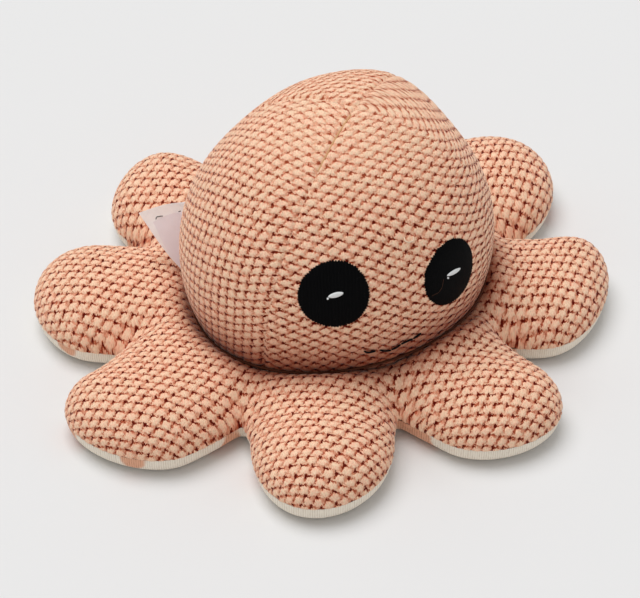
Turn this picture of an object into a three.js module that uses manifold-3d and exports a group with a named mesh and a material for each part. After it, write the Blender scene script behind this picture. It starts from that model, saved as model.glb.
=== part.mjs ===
// A knitted plush octopus: a round head sewn on a flat star of eight stuffed arms.
// Millimetres, +Z up, resting on Z = 0 with the face towards -Y.
// The origin is on the resting plane, under the middle of the star.

import * as THREE from 'three';
import { mergeVertices } from 'three/addons/utils/BufferGeometryUtils.js';
import ManifoldModule from 'manifold-3d';

const manifold = await ManifoldModule();
manifold.setup();

// Fabric and clearances
const KNIT_THICKNESS = 1.6; // textured knit of the head and the star's top
const JERSEY_THICKNESS = 1.2; // smooth jersey of the star's underside
const TOUCH_GAP = 0.3; // between pieces that lie against each other
const RUNNING_GAP = 0.45; // between a soft joint's two faces
const CUT_OVERRUN = 5; // how far a cutting block passes the piece that it cuts

// Head
const HEAD_RADIUS = 66.5;
const HEAD_RISE = 24; // of the head's centre over the star's top
const HEAD_TO_RIGHT = 7.5; // how far the head leans off the star's middle
const HEAD_TO_FRONT = 4.8;
const HEAD_TUCK_DEPTH = 12; // how far the gores reach down inside the neck seam
const HEAD_NOD_DEG = 11; // how far the seam lets the head nod, at most
const STUFFING_BULGE_RADIUS = 44; // of the stuffing that bulges down out of the head
const HEAD_YAW_DEG = -3.7;
const HEAD_TIP_FORWARD_DEG = 4.5;
const HEAD_TIP_RIGHT_DEG = 4.3;
const GORE_COUNT = 4;

// Star of arms
const ARM_COUNT = 8;
const COLLAR_WIDTH = 28; // from the neck to the line where the arms bend
const ARM_FREE_LENGTH = 39; // from the bend line to an arm's tip
const ARM_WIDTH = 70; // widest place of an arm
const ARM_WIDEST_AFTER_BEND = 13;
const ARM_ROOT_ROOM = 7.5; // how much narrower its root is than its eighth of the star at the bend line
const ARM_HEIGHT = 30; // thickness at the root
const SEAM_HEIGHT = 10; // of the seam round the star, over the resting plane
const BELLY_OVERFILL = 1.5; // how far the underside's bulge would reach below the table that flattens it
const ROOT_OVERSIZE = 2; // how much more than half an arm's height its round root has for a radius
const ARM_SIDE_GAP = 0.4; // between an arm's root and the plane that parts it from its neighbour
const STAR_EDGE_SETBACK = 1.5; // of the star's own edge from where two round roots would meet
const SEAT_REACH = 6; // how much further the star reaches into an arm's root than between two roots
const FOLD_LENGTH = 24; // of the folds that run in between two roots
const FOLD_SHARE = 0.55; // of the star's height that a fold has lost where the roots meet

// Each arm's own length, and how far its tip leans to the left seen from the head, as it was stuffed.
// They are counted anticlockwise from the one at the back right.
const ARM_LENGTH_SHARES = [1.3, 1, 1, 0.95, 1.2, 0.95, 0.97, 1.02];
const ARM_LEAN_SHARES = [-0.03, 0, 0, 0.03, -0.1, -0.1, 0.1, 0.13];

// Places that follow
const HEAD_CENTRE = new THREE.Vector3(HEAD_TO_RIGHT, -HEAD_TO_FRONT, ARM_HEIGHT + HEAD_RISE);
const HEAD_CUT_DEPTH = HEAD_RISE + HEAD_TUCK_DEPTH; // of the gores' lower edge, below the head's centre
const NECK_RADIUS = Math.sqrt(HEAD_RADIUS ** 2 - HEAD_RISE ** 2);
const BEND_RADIUS = NECK_RADIUS + COLLAR_WIDTH;
const BEND_HEIGHT = ARM_HEIGHT / 2;
const ROOT_ROUNDING = ARM_HEIGHT / 2 + ROOT_OVERSIZE;
const BELLY_DEPTH = SEAM_HEIGHT + BELLY_OVERFILL;
const ARM_WIDEST_AT = BEND_RADIUS + ARM_WIDEST_AFTER_BEND;
const HALF_SECTOR = Math.PI / ARM_COUNT;
const ARM_ROOT_WIDTH = 2 * BEND_RADIUS * Math.tan(HALF_SECTOR) - ARM_ROOT_ROOM;
const STAR_RADIUS = (BEND_RADIUS - ROOT_ROUNDING) / Math.cos(HALF_SECTOR) - STAR_EDGE_SETBACK;
const LONGEST_REACH = BEND_RADIUS + ARM_FREE_LENGTH * Math.max(...ARM_LENGTH_SHARES);
const WHOLE = LONGEST_REACH + CUT_OVERRUN; // half the size of a block that passes the whole toy

// Embroidered face, in degrees round the head from the middle of the face and up from its equator
const EMBROIDERY_THICKNESS = 1;
const EYE_WIDTH = 29.4;
const EYE_PLACES_DEG = { left: [-23.8, 16.6], right: [23.9, 17.4] };
const GLINT_SIZE = new THREE.Vector3(7.4, 2.6, 1.1); // length, width and thickness
const GLINT_PLACES_DEG = { left: [-23, 16.3], right: [25.5, 16.7] };
const GLINT_LEAN_DEG = 12;
const SPECK_WIDTH = 1.3;
const SPECK_PLACES_DEG = { left: [-25.9, 14.1], right: [22.4, 14.6] };
const STITCH_WIDTH = 1;
const MOUTH_STITCHES_DEG = [
  [-9.4, -9.6, -6.2, -9.9],
  [-2.8, -9.6, 0.1, -10],
  [0.9, -9.8, 3.4, -8.5],
  [4.3, -8.2, 6.4, -7.2],
  [7.8, -7.4, 11.4, -4.8],
];

// Seam between head and star
const NECK_THREAD_WIDTH = 1.4;
const NECK_THREAD_LIFT = 1; // of the thread's middle over the star's top

// Folded ribbon sewn into the neck seam at the back left
const LABEL_WIDTH = 30;
const LABEL_LENGTH = 34;
const LABEL_THICKNESS = 0.4;
const LABEL_ROOT_LIFT = 1; // of the ribbon's sewn edge over the star's top
const LABEL_BEARING_DEG = 148; // direction from the head, anticlockwise from +X
const LABEL_RISE_DEG = 61; // over the horizontal
const LABEL_PAGE_SETBACK = 8; // how much narrower the inner page is
const LABEL_PAGE_SHORTFALL = 1.5; // between the ribbon's sewn edge and the inner page's
const LABEL_PAGE_GAP = 0.3;

// How finely the soft forms are divided
const ARM_STATION_SHARES = [0, 0.5, 0.87];
const ARM_TOP_SHARES = [1, 0.87, 0.5, 0, -0.5, -0.87, -1]; // of its half width, from edge to edge
const ARM_UNDER_SHARES = [-0.9, -0.6, 0.6, 0.9];
const STAR_POINTS_PER_ARM = 4;
const STAR_TOP_SHARES = [1, 0.86, 0.7];
const STAR_BASE_SHARES = [0.8, 1];
const HEAD_AROUND = 24;
const HEAD_UP = 11;
const BULGE_AROUND = 10;
const BULGE_UP = 5;
const ROOT_FACETS = 10;
const EYE_INNER_SHARES = [0, 0.5, 1];
const EYE_OUTER_SHARES = [0.95, 0.6, 0.3, 0];
const EYE_AROUND = 20;
const STITCH_AROUND = 6;
const STITCH_UP = 2;
const GLINT_AROUND = 10;
const GLINT_UP = 6;
const NECK_THREAD_STEPS = 40;

const knit = new THREE.MeshStandardMaterial({ color: 0xd79f83, roughness: 0.95, metalness: 0 });
const jersey = new THREE.MeshStandardMaterial({ color: 0xe2d3bd, roughness: 0.9, metalness: 0 });
const stuffing = new THREE.MeshStandardMaterial({ color: 0xf4f2ee, roughness: 1, metalness: 0 });
const blackThread = new THREE.MeshStandardMaterial({ color: 0x141214, roughness: 0.7, metalness: 0 });
const whiteThread = new THREE.MeshStandardMaterial({ color: 0xf2f0ec, roughness: 0.6, metalness: 0 });
const seamThread = new THREE.MeshStandardMaterial({ color: 0xc98f72, roughness: 0.8, metalness: 0 });
const ribbon = new THREE.MeshStandardMaterial({ color: 0xf0f0f2, roughness: 0.6, metalness: 0 });

// Solids from closed meshes, and back

function toSolid(geometry, matrix) {
  const bare = geometry.clone();
  bare.deleteAttribute('normal');
  bare.deleteAttribute('uv');
  if (matrix) bare.applyMatrix4(matrix);
  const merged = mergeVertices(bare);
  const vertProperties = new Float32Array(merged.attributes.position.array);
  const triVerts = new Uint32Array(merged.index.array);
  return new manifold.Manifold(new manifold.Mesh({ numProp: 3, vertProperties, triVerts }));
}

function toGeometry(solid) {
  const mesh = solid.getMesh();
  const geometry = new THREE.BufferGeometry();
  geometry.setAttribute('position', new THREE.BufferAttribute(new Float32Array(mesh.vertProperties), mesh.numProp));
  geometry.setIndex(Array.from(mesh.triVerts));
  geometry.computeVertexNormals();
  return geometry;
}

function addPiece(parent, name, solid, material) {
  const mesh = new THREE.Mesh(toGeometry(solid), material);
  mesh.name = name;
  parent.add(mesh);
}

// A box from its lowest to its highest corner
function block(low, high, matrix) {
  const size = high.clone().sub(low);
  const middle = high.clone().add(low).multiplyScalar(0.5);
  const geometry = new THREE.BoxGeometry(size.x, size.y, size.z).translate(middle.x, middle.y, middle.z);
  return toSolid(geometry, matrix);
}

function ball(radius, around, up, matrix) {
  return toSolid(new THREE.SphereGeometry(radius, around, up), matrix);
}

// A ball's room: its flats, and not only its corners, clear the ball however it turns
function roomForBall(radius, around, up, matrix) {
  const flat = Math.cos(Math.PI / around) * Math.cos(Math.PI / 2 / up);
  return ball((radius + RUNNING_GAP) / flat, around, up, matrix);
}

// A closed skin over rings of equally many points, ended by a point at each end
function loft(startPoint, rings, endPoint) {
  const count = rings[0].length;
  const points = [startPoint, ...rings.flat(), endPoint];
  const end = points.length - 1;
  const faces = [];
  for (let i = 0; i < count; i += 1) {
    const next = (i + 1) % count;
    faces.push(0, 1 + next, 1 + i);
    for (let ring = 0; ring < rings.length - 1; ring += 1) {
      const here = 1 + ring * count;
      const there = here + count;
      faces.push(here + i, here + next, there + i);
      faces.push(here + next, there + next, there + i);
    }
    const last = 1 + (rings.length - 1) * count;
    faces.push(end, last + i, last + next);
  }
  const geometry = new THREE.BufferGeometry().setFromPoints(points);
  geometry.setIndex(faces);
  return geometry;
}

function smoothStep(from, to, value) {
  const share = THREE.MathUtils.clamp((value - from) / (to - from), 0, 1);
  return share * share * (3 - 2 * share);
}

// The top of a stuffed form is fuller than an ellipse, and its underside is fuller still
const TOP_FULLNESS = 2.3;
const UNDER_FULLNESS = 4;

function swell(share, fullness) {
  return Math.sqrt(Math.max(0, 1 - Math.abs(share) ** fullness));
}

// One arm along +X, shrunk by an inset on all sides

function armSkin(index, inset) {
  const length = ARM_FREE_LENGTH * ARM_LENGTH_SHARES[index];
  const tip = BEND_RADIUS + length - inset;
  const lean = length * ARM_LEAN_SHARES[index];
  const top = ARM_HEIGHT - SEAM_HEIGHT - inset;
  const depth = BELLY_DEPTH - inset;
  const start = BEND_RADIUS - ROOT_ROUNDING - CUT_OVERRUN - inset;
  const halfWidth = (x) => {
    const widened = smoothStep(BEND_RADIUS, ARM_WIDEST_AT, x);
    const half = THREE.MathUtils.lerp(ARM_ROOT_WIDTH, ARM_WIDTH, widened) / 2 - inset;
    return half * swell(Math.max(0, (x - ARM_WIDEST_AT) / (tip - ARM_WIDEST_AT)), 2);
  };
  const ring = (x) => {
    const along = Math.max(0, (x - BEND_RADIUS) / (tip - BEND_RADIUS));
    const aside = lean * along * along;
    const points = [];
    for (const across of ARM_TOP_SHARES) {
      const rise = top * swell(across, TOP_FULLNESS) * swell(along, TOP_FULLNESS);
      points.push(new THREE.Vector3(x, aside + halfWidth(x) * across, SEAM_HEIGHT + rise));
    }
    for (const across of ARM_UNDER_SHARES) {
      const drop = depth * swell(across, UNDER_FULLNESS) * swell(along, UNDER_FULLNESS);
      points.push(new THREE.Vector3(x, aside + halfWidth(x) * across, Math.max(inset, SEAM_HEIGHT - drop)));
    }
    return points;
  };
  const stations = [start, BEND_RADIUS];
  for (const share of ARM_STATION_SHARES) {
    stations.push(THREE.MathUtils.lerp(ARM_WIDEST_AT, tip, share));
  }
  const startPoint = new THREE.Vector3(start, 0, SEAM_HEIGHT);
  return loft(startPoint, stations.map(ring), new THREE.Vector3(tip, lean, SEAM_HEIGHT));
}

// What an arm may fill: all beyond its bend line, and a round root about that line. The root narrows
// to both sides in such a way that it stays in the arm's own eighth of the star however far it bends.
// With a gap it is the root's seat in the star, whose flats face the root's corners and clear them.
function rootTool(gap, matrix) {
  const halfFacet = Math.PI / ROOT_FACETS;
  const parting = (ARM_SIDE_GAP - gap) / Math.sin(HALF_SECTOR);
  const tangent = Math.tan(HALF_SECTOR);
  const radius = gap > 0 ? (ROOT_ROUNDING + gap) / Math.cos(halfFacet) : ROOT_ROUNDING;
  const turn = gap > 0 ? halfFacet : 0;
  const shoulder = (BEND_RADIUS - radius - parting) * tangent;
  const side = (BEND_RADIUS - parting) * tangent;
  const profile = [[0, -side], [radius, -shoulder], [radius, shoulder], [0, side]];
  const outline = profile.map(([x, y]) => new THREE.Vector2(x, y));
  const barrel = new THREE.LatheGeometry(outline, ROOT_FACETS).rotateY(turn);
  barrel.translate(BEND_RADIUS, 0, BEND_HEIGHT);
  const low = new THREE.Vector3(BEND_RADIUS, -WHOLE / 2, BEND_HEIGHT - radius);
  const high = new THREE.Vector3(WHOLE, WHOLE / 2, BEND_HEIGHT + radius);
  return toSolid(barrel, matrix).add(block(low, high, matrix));
}

// Everything above or below a level, as wide as the whole toy

function above(level, matrix) {
  return block(new THREE.Vector3(-WHOLE, -WHOLE, level), new THREE.Vector3(WHOLE, WHOLE, level + WHOLE), matrix);
}

function below(level, matrix) {
  return block(new THREE.Vector3(-WHOLE, -WHOLE, level - WHOLE), new THREE.Vector3(WHOLE, WHOLE, level), matrix);
}

function addArm(parent, index) {
  const root = rootTool(0);
  const skin = toSolid(armSkin(index, 0)).intersect(root);
  const insideKnit = toSolid(armSkin(index, KNIT_THICKNESS));
  const insideJersey = toSolid(armSkin(index, JERSEY_THICKNESS));
  const filling = toSolid(armSkin(index, KNIT_THICKNESS + TOUCH_GAP)).intersect(root);
  const top = skin.subtract(insideKnit).intersect(above(SEAM_HEIGHT + TOUCH_GAP / 2));
  const under = skin.subtract(insideJersey).intersect(below(SEAM_HEIGHT - TOUCH_GAP / 2));
  const arm = new THREE.Group();
  arm.rotation.z = armBearing(index);
  const name = `arm_${index + 1}`;
  addPiece(arm, `${name}_top_panel`, top, knit);
  addPiece(arm, `${name}_under_panel`, under, jersey);
  addPiece(arm, `${name}_filling`, filling, stuffing);
  parent.add(arm);
}

function armBearing(index) {
  return ((index + 0.5) * 2 * Math.PI) / ARM_COUNT;
}

// The star's middle, which carries the head and the eight arms

function starSkin(inset) {
  const top = ARM_HEIGHT - SEAM_HEIGHT - inset;
  const depth = BELLY_DEPTH - inset;
  const count = ARM_COUNT * STAR_POINTS_PER_ARM;
  const ring = (share, onTop) => {
    const points = [];
    for (let i = 0; i < count; i += 1) {
      const angle = (i / count) * 2 * Math.PI;
      const fromArm = 2 * Math.abs((i / STAR_POINTS_PER_ARM) % 1 - 0.5);
      const edge = STAR_RADIUS + SEAT_REACH * (1 - fromArm ** 4) - inset;
      const radius = edge * share;
      const folded = FOLD_SHARE * THREE.MathUtils.clamp(1 - (STAR_RADIUS - radius) / FOLD_LENGTH, 0, 1);
      const fullness = onTop ? TOP_FULLNESS : UNDER_FULLNESS;
      const height = 1 - folded * (1 - swell(fromArm, fullness));
      const z = onTop ? SEAM_HEIGHT + top * height : Math.max(inset, SEAM_HEIGHT - depth * height);
      points.push(new THREE.Vector3(radius * Math.cos(angle), radius * Math.sin(angle), z));
    }
    return points;
  };
  const rings = [];
  for (const share of STAR_BASE_SHARES) rings.push(ring(share, false));
  for (const share of STAR_TOP_SHARES) rings.push(ring(share, true));
  return loft(new THREE.Vector3(0, 0, inset), rings, new THREE.Vector3(0, 0, SEAM_HEIGHT + top));
}

// The seat that the round head turns in, as wide as its nod needs
function headSeat() {
  const place = new THREE.Matrix4().makeTranslation(HEAD_CENTRE.x, HEAD_CENTRE.y, HEAD_CENTRE.z);
  const nod = THREE.MathUtils.degToRad(HEAD_NOD_DEG);
  const rim = Math.sqrt(HEAD_RADIUS ** 2 - HEAD_CUT_DEPTH ** 2);
  const lowest = HEAD_CUT_DEPTH * Math.cos(nod) + rim * Math.sin(nod);
  const seat = roomForBall(HEAD_RADIUS, HEAD_AROUND, HEAD_UP, place);
  const bulge = roomForBall(STUFFING_BULGE_RADIUS, BULGE_AROUND, BULGE_UP, place);
  return seat.intersect(above(HEAD_CENTRE.z - lowest - RUNNING_GAP)).add(bulge);
}

function addStar(parent) {
  let rooms = headSeat();
  for (let index = 0; index < ARM_COUNT; index += 1) {
    const turned = new THREE.Matrix4().makeRotationZ(armBearing(index));
    rooms = rooms.add(rootTool(RUNNING_GAP, turned));
  }
  const skin = toSolid(starSkin(0)).subtract(rooms);
  const top = skin.subtract(toSolid(starSkin(KNIT_THICKNESS))).intersect(above(SEAM_HEIGHT + TOUCH_GAP / 2));
  const under = skin.subtract(toSolid(starSkin(JERSEY_THICKNESS))).intersect(below(SEAM_HEIGHT - TOUCH_GAP / 2));
  const filling = toSolid(starSkin(KNIT_THICKNESS + TOUCH_GAP)).subtract(rooms);
  addPiece(parent, 'star_top_panel', top, knit);
  addPiece(parent, 'star_under_panel', under, jersey);
  addPiece(parent, 'star_filling', filling, stuffing);
}

// Head: four gores over one ball of stuffing, with the face embroidered on the front one

function onHead(bearingDeg, riseDeg, radius) {
  const bearing = THREE.MathUtils.degToRad(bearingDeg);
  const rise = THREE.MathUtils.degToRad(riseDeg);
  const level = radius * Math.cos(rise);
  return new THREE.Vector3(level * Math.sin(bearing), -level * Math.cos(bearing), radius * Math.sin(rise));
}

function addHead(parent) {
  const head = new THREE.Group();
  head.position.copy(HEAD_CENTRE);
  const degrees = [HEAD_TIP_FORWARD_DEG, HEAD_TIP_RIGHT_DEG, HEAD_YAW_DEG];
  head.rotation.set(...degrees.map(THREE.MathUtils.degToRad), 'ZXY');
  const level = new THREE.Matrix4().makeRotationFromEuler(head.rotation).invert();
  const upper = above(-HEAD_CUT_DEPTH, level);
  const shell = ball(HEAD_RADIUS, HEAD_AROUND, HEAD_UP).intersect(upper);
  const gores = shell.subtract(ball(HEAD_RADIUS - KNIT_THICKNESS, HEAD_AROUND, HEAD_UP));
  const names = ['head_front_gore', 'head_right_gore', 'head_back_gore', 'head_left_gore'];
  const low = new THREE.Vector3(TOUCH_GAP / 2, TOUCH_GAP / 2, -WHOLE);
  const high = new THREE.Vector3(WHOLE, WHOLE, WHOLE);
  for (let index = 0; index < GORE_COUNT; index += 1) {
    // The quarter from +X to +Y, turned so that the first gore looks along -Y
    const quarter = new THREE.Matrix4().makeRotationZ(((2 * index - 3) * Math.PI) / GORE_COUNT);
    addPiece(head, names[index], gores.intersect(block(low, high, quarter)), knit);
  }
  const inside = ball(HEAD_RADIUS - KNIT_THICKNESS - TOUCH_GAP, HEAD_AROUND, HEAD_UP).intersect(upper);
  const bulge = ball(STUFFING_BULGE_RADIUS, BULGE_AROUND, BULGE_UP);
  addPiece(head, 'head_filling', inside.add(bulge), stuffing);
  addFace(head);
  parent.add(head);
}

// A round patch of satin stitches, bent to the head
function eyePatch() {
  const inner = HEAD_RADIUS + TOUCH_GAP;
  const outer = inner + EMBROIDERY_THICKNESS;
  const half = EYE_WIDTH / 2 / HEAD_RADIUS;
  const profile = [];
  for (const share of EYE_INNER_SHARES) {
    profile.push(new THREE.Vector2(inner * Math.sin(half * share), inner * Math.cos(half * share)));
  }
  for (const share of EYE_OUTER_SHARES) {
    profile.push(new THREE.Vector2(outer * Math.sin(half * share), outer * Math.cos(half * share)));
  }
  return new THREE.LatheGeometry(profile, EYE_AROUND).rotateX(Math.PI / 2);
}

// Turns a piece made round the local +Z axis to a place on the head, with local +X level
function facing(bearingDeg, riseDeg, leanDeg) {
  const matrix = new THREE.Matrix4();
  const out = onHead(bearingDeg, riseDeg, 1);
  const side = new THREE.Vector3(-out.y, out.x, 0).normalize();
  matrix.makeBasis(side, out.clone().cross(side), out);
  return matrix.multiply(new THREE.Matrix4().makeRotationZ(THREE.MathUtils.degToRad(leanDeg)));
}

function addFace(head) {
  const eyeTop = HEAD_RADIUS + TOUCH_GAP + EMBROIDERY_THICKNESS;
  for (const side of ['left', 'right']) {
    const eye = eyePatch().applyMatrix4(facing(...EYE_PLACES_DEG[side], 0));
    addPiece(head, `${side}_eye`, toSolid(eye), blackThread);

    const glint = new THREE.SphereGeometry(1, GLINT_AROUND, GLINT_UP);
    glint.scale(GLINT_SIZE.x / 2, GLINT_SIZE.y / 2, GLINT_SIZE.z / 2);
    glint.translate(0, 0, eyeTop + TOUCH_GAP + GLINT_SIZE.z / 2);
    glint.applyMatrix4(facing(...GLINT_PLACES_DEG[side], GLINT_LEAN_DEG));
    addPiece(head, `${side}_eye_glint`, toSolid(glint), whiteThread);

    const speck = new THREE.SphereGeometry(SPECK_WIDTH / 2, GLINT_AROUND, GLINT_UP);
    speck.translate(0, 0, eyeTop + TOUCH_GAP + SPECK_WIDTH / 2);
    speck.applyMatrix4(facing(...SPECK_PLACES_DEG[side], 0));
    addPiece(head, `${side}_eye_speck`, toSolid(speck), whiteThread);
  }
  MOUTH_STITCHES_DEG.forEach(([fromBearing, fromRise, toBearing, toRise], index) => {
    const radius = HEAD_RADIUS + TOUCH_GAP + STITCH_WIDTH / 2;
    const from = onHead(fromBearing, fromRise, radius);
    const to = onHead(toBearing, toRise, radius);
    const span = to.clone().sub(from);
    const straight = span.length() - STITCH_WIDTH;
    const stitch = new THREE.CapsuleGeometry(STITCH_WIDTH / 2, straight, STITCH_UP, STITCH_AROUND);
    const turn = new THREE.Quaternion().setFromUnitVectors(new THREE.Vector3(0, 1, 0), span.normalize());
    stitch.applyQuaternion(turn);
    const middle = from.add(to).multiplyScalar(0.5).setLength(radius);
    stitch.translate(middle.x, middle.y, middle.z);
    addPiece(head, `mouth_stitch_${index + 1}`, toSolid(stitch), blackThread);
  });
}

// The thread that closes the neck seam lies in the crease between head and star
function addNeckThread(parent) {
  const fromCentre = HEAD_RADIUS + RUNNING_GAP + NECK_THREAD_WIDTH / 2;
  const depth = HEAD_RISE - NECK_THREAD_LIFT;
  const radius = Math.sqrt(fromCentre ** 2 - depth ** 2);
  const thread = new THREE.TorusGeometry(radius, NECK_THREAD_WIDTH / 2, STITCH_AROUND, NECK_THREAD_STEPS);
  thread.translate(HEAD_CENTRE.x, HEAD_CENTRE.y, HEAD_CENTRE.z - depth);
  addPiece(parent, 'neck_seam_thread', toSolid(thread), seamThread);
}

// The ribbon is folded once, so that it has an outer and a narrower inner page
function addLabel(parent) {
  const depth = HEAD_RISE - LABEL_ROOT_LIFT;
  const fromCentre = HEAD_RADIUS + RUNNING_GAP + NECK_THREAD_WIDTH + TOUCH_GAP + LABEL_THICKNESS;
  const fromAxis = Math.sqrt(fromCentre ** 2 - depth ** 2);
  const bearing = THREE.MathUtils.degToRad(LABEL_BEARING_DEG);
  const label = new THREE.Group();
  label.position.set(
    HEAD_CENTRE.x + fromAxis * Math.cos(bearing),
    HEAD_CENTRE.y + fromAxis * Math.sin(bearing),
    HEAD_CENTRE.z - depth,
  );
  label.rotation.set(0, -THREE.MathUtils.degToRad(LABEL_RISE_DEG), bearing, 'ZYX');
  const outer = new THREE.BoxGeometry(LABEL_LENGTH, LABEL_WIDTH, LABEL_THICKNESS);
  outer.translate(LABEL_LENGTH / 2, 0, 0);
  addPiece(label, 'care_label_outer_page', toSolid(outer), ribbon);
  const innerWidth = LABEL_WIDTH - LABEL_PAGE_SETBACK;
  const innerLength = LABEL_LENGTH - LABEL_PAGE_SHORTFALL;
  const inner = new THREE.BoxGeometry(innerLength, innerWidth, LABEL_THICKNESS);
  inner.translate(LABEL_LENGTH - innerLength / 2, -LABEL_PAGE_SETBACK / 2, LABEL_THICKNESS + LABEL_PAGE_GAP);
  addPiece(label, 'care_label_inner_page', toSolid(inner), ribbon);
  parent.add(label);
}

const group = new THREE.Group();
addStar(group);
for (let index = 0; index < ARM_COUNT; index += 1) addArm(group, index);
addHead(group);
addNeckThread(group);
addLabel(group);

export default group;
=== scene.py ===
# The looks of a knitted plush octopus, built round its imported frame.
# Metres, +Z up, resting on Z = 0 with the face towards -Y. Lengths below are in millimetres.
# Every form is made by moving the vertices of a grid or a disc; nothing is simulated.

import math

import bmesh
import bpy
import numpy as np
from mathutils import Matrix, Vector


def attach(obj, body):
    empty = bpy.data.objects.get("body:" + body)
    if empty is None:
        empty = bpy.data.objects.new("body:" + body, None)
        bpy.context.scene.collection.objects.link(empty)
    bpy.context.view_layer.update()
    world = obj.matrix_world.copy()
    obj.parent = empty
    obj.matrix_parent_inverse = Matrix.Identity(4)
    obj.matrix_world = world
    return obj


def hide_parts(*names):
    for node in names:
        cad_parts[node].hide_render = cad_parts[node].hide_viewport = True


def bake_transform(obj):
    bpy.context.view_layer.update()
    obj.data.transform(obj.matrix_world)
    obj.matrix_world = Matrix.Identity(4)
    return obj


MM = 0.001
FULL_TURN = 2 * math.pi

# Camera
CAMERA_PLACE = np.array([-331.9, -769.3, 715.4])
CAMERA_TARGET = np.array([-7.1, -17.2, 27.9])
CAMERA_LENS = 138.5
SENSOR_WIDTH = 36.0
PICTURE_SIZE = (640, 598)

# Head
HEAD_CENTRE = np.array([7.5, -4.8, 54.0])
HEAD_RADIUS = 66.5
HEAD_YAW_DEG = -3.7
HEAD_TIP_FORWARD_DEG = 4.5
HEAD_TIP_RIGHT_DEG = 4.3
HEAD_FLOOR = 18.0  # level where the gores end inside the neck
GORES = {"front": 0, "right": 90, "back": 180, "left": -90}
# Depth of the seam at each gore's left and right edge, and how far in from the edge it reaches
SEAM_DEPTHS = {"front": (0.9, 0.4), "right": (0.4, 0.9), "back": (0.9, 1.1), "left": (1.1, 0.9)}
SEAM_REACH = 0.9
# Where the ball is fuller or flatter: bearing and rise in degrees, height, and breadth in degrees
HEAD_SWELLS = [
    (127, 48, 3.4, 18),
    (97, 28, -1.2, 18),
    (-150, 35, -4.3, 28),
    (-65, -20, 8.0, 45),
]

# Star of arms
ARM_COUNT = 8
HALF_SECTOR = math.pi / ARM_COUNT
BEND_RADIUS = 90.0
NOTCH_RADII = [92.6, 92.2, 92.2, 83.0, 91.0, 86.0, 82.0, 84.0]
ARM_WIDTHS = [71.0, 70.6, 59.6, 65.8, 62.6, 59.4, 58.8, 67.0]
ARM_WIDEST_AT = [98.0, 102.0, 94.0, 97.6, 107.2, 92.8, 99.5, 102.0]
ARM_LENGTHS = [56.8, 39.0, 38.2, 36.7, 42.4, 40.1, 37.5, 40.1]  # from the bend to the tip
ARM_LEANS = [2.0, 0.0, -8.4, -4.4, -9.0, -3.2, 6.0, 16.4]  # of the tip to the left of the arm's axis
SEAM_HEIGHT = 10.0
TOP_RISE = 20.0
TOP_REACH = 34.0  # how far in from the edge the top goes on rising
TOP_FULLNESS = 2.3
FOLD_SHARE = 0.28  # of the rise that is lost in the fold between two arms
FOLD_BREADTH = 5.5
FOLD_RADII = (66, 90)  # over which a fold sets in
NOTCH_CALM = (2, 26)  # distances from a notch over which the cloth starts to fill out
EDGE_BREADTH = 7.0  # next to the edge, where this share of the spare cloth counts in the measured map
EDGE_SHARE = 0.7
CORNER_SOFTNESS = 2.2
BELLY_DEPTH = 11.5
BELLY_REACH = 35.0
BELLY_FULLNESS = 8.0
JERSEY_EDGE_RISE = 0.5  # of the jersey's edge above the knit's
FLOOR_GAP = 0.15
SPOT_PITCH = 36.0
SPOT_RADIUS = 7.5
SPOT_GROWTH = 3.0  # of the largest spot over the smallest
COLLAR_OUTER_RADIUS = 70.0
COLLAR_WIDTH = 20.0
NECK_HEIGHT = 31.5
NECK_TILT = 5.5  # how much higher the neck is towards NECK_HIGH_BEARING_DEG than in the middle
NECK_HIGH_BEARING_DEG = 45
NECK_REACH = 10.0  # over which the star climbs to the neck
NECK_CREASE = 3.4
NECK_CREASE_REACH = 3.5
INNER_SLOPE = 1.2  # of the star's cloth inside the neck
INNER_REACH = 12
CREASE_SHADE_REACH = {"head": 15.0, "star": 8.5}  # how far the painted shade of the crease fades out on each

# Knit
STITCH_WIDTH = 5.3
COURSE_HEIGHT = 3.9
KNIT_SEED = 3.0
KNIT_DEPTH = 0.4
HEAD_LUMP_RISE = 0.35  # of the lumps above the plain surface
STAR_LUMP_RISE = 0.4
CROWN_SHEEN_LEVELS = (92, 118)  # between which painted sheen makes the head's yarn paler towards the crown
COURSE_TURN_DEG = -23.4  # of the star's courses from +X
# Where each point of the head lies on its knit: powers of its outward direction's x, y and z, and
# for the front and the left how many mm across and up the cloth each of them counts for.
HEAD_POWERS = [
    (i, j, k) for k in (0, 1) for i in range(4 - k) for j in range(4 - k - i) if i + j + k
]
FRONT_ACROSS = [
    0.3, 103.2, 71.4, 66.3, -7.5, -18.7, 42.4, 58.3, 5.4, -26.2, -25.7, -42.8, -26.5, -36.0, -19.2,
]
FRONT_UP = [15.8, 11.1, 2.5, 25.7, 4.1, 12.8, -9.2, -3.3, 2.2, 83.1, 28.5, 3.1, 9.1, 4.5, 20.8]
LEFT_ACROSS = [
    -109.6, -35.4, 19.3, -23.6, -75.5, -23.6, -104.5, -39.3, -41.5, 20.9, 58.4, 42.6, 26.9, 69.6, 52.1,
]
LEFT_UP = [-2.7, -9.1, 28.6, 47.2, -34.5, -25.6, 20.7, -15.6, -6.8, 81.0, 14.7, 29.1, 17.7, -5.7, 9.6]
MEASURED_BEARINGS_DEG = (-112, 62)
BEYOND_SLANTS_DEG = (-50, 35)  # of the courses beyond each of them
# The same for the star: its flat places across and up, then x, y, x * y and squares in 100 mm
STAR_ACROSS = [0.28, 0.21, 68.5, -63.2, 4.5, 4.0, -0.4]
STAR_UP = [0.66, 0.32, -34.9, 68.0, -2.8, -9.7, -8.4]

# How finely the cloths are divided
GORE_CELLS = (220, 300)
SECTOR_CELLS = (240, 140)
COLLAR_CELLS = (ARM_COUNT * SECTOR_CELLS[0], 36)
UNDER_CELLS = (120, 64)
MIDDLE_CELLS = (ARM_COUNT * UNDER_CELLS[0], 30)
FILLING_CELLS = (48, 24)
OUTLINE_POINTS = 2400

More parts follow.
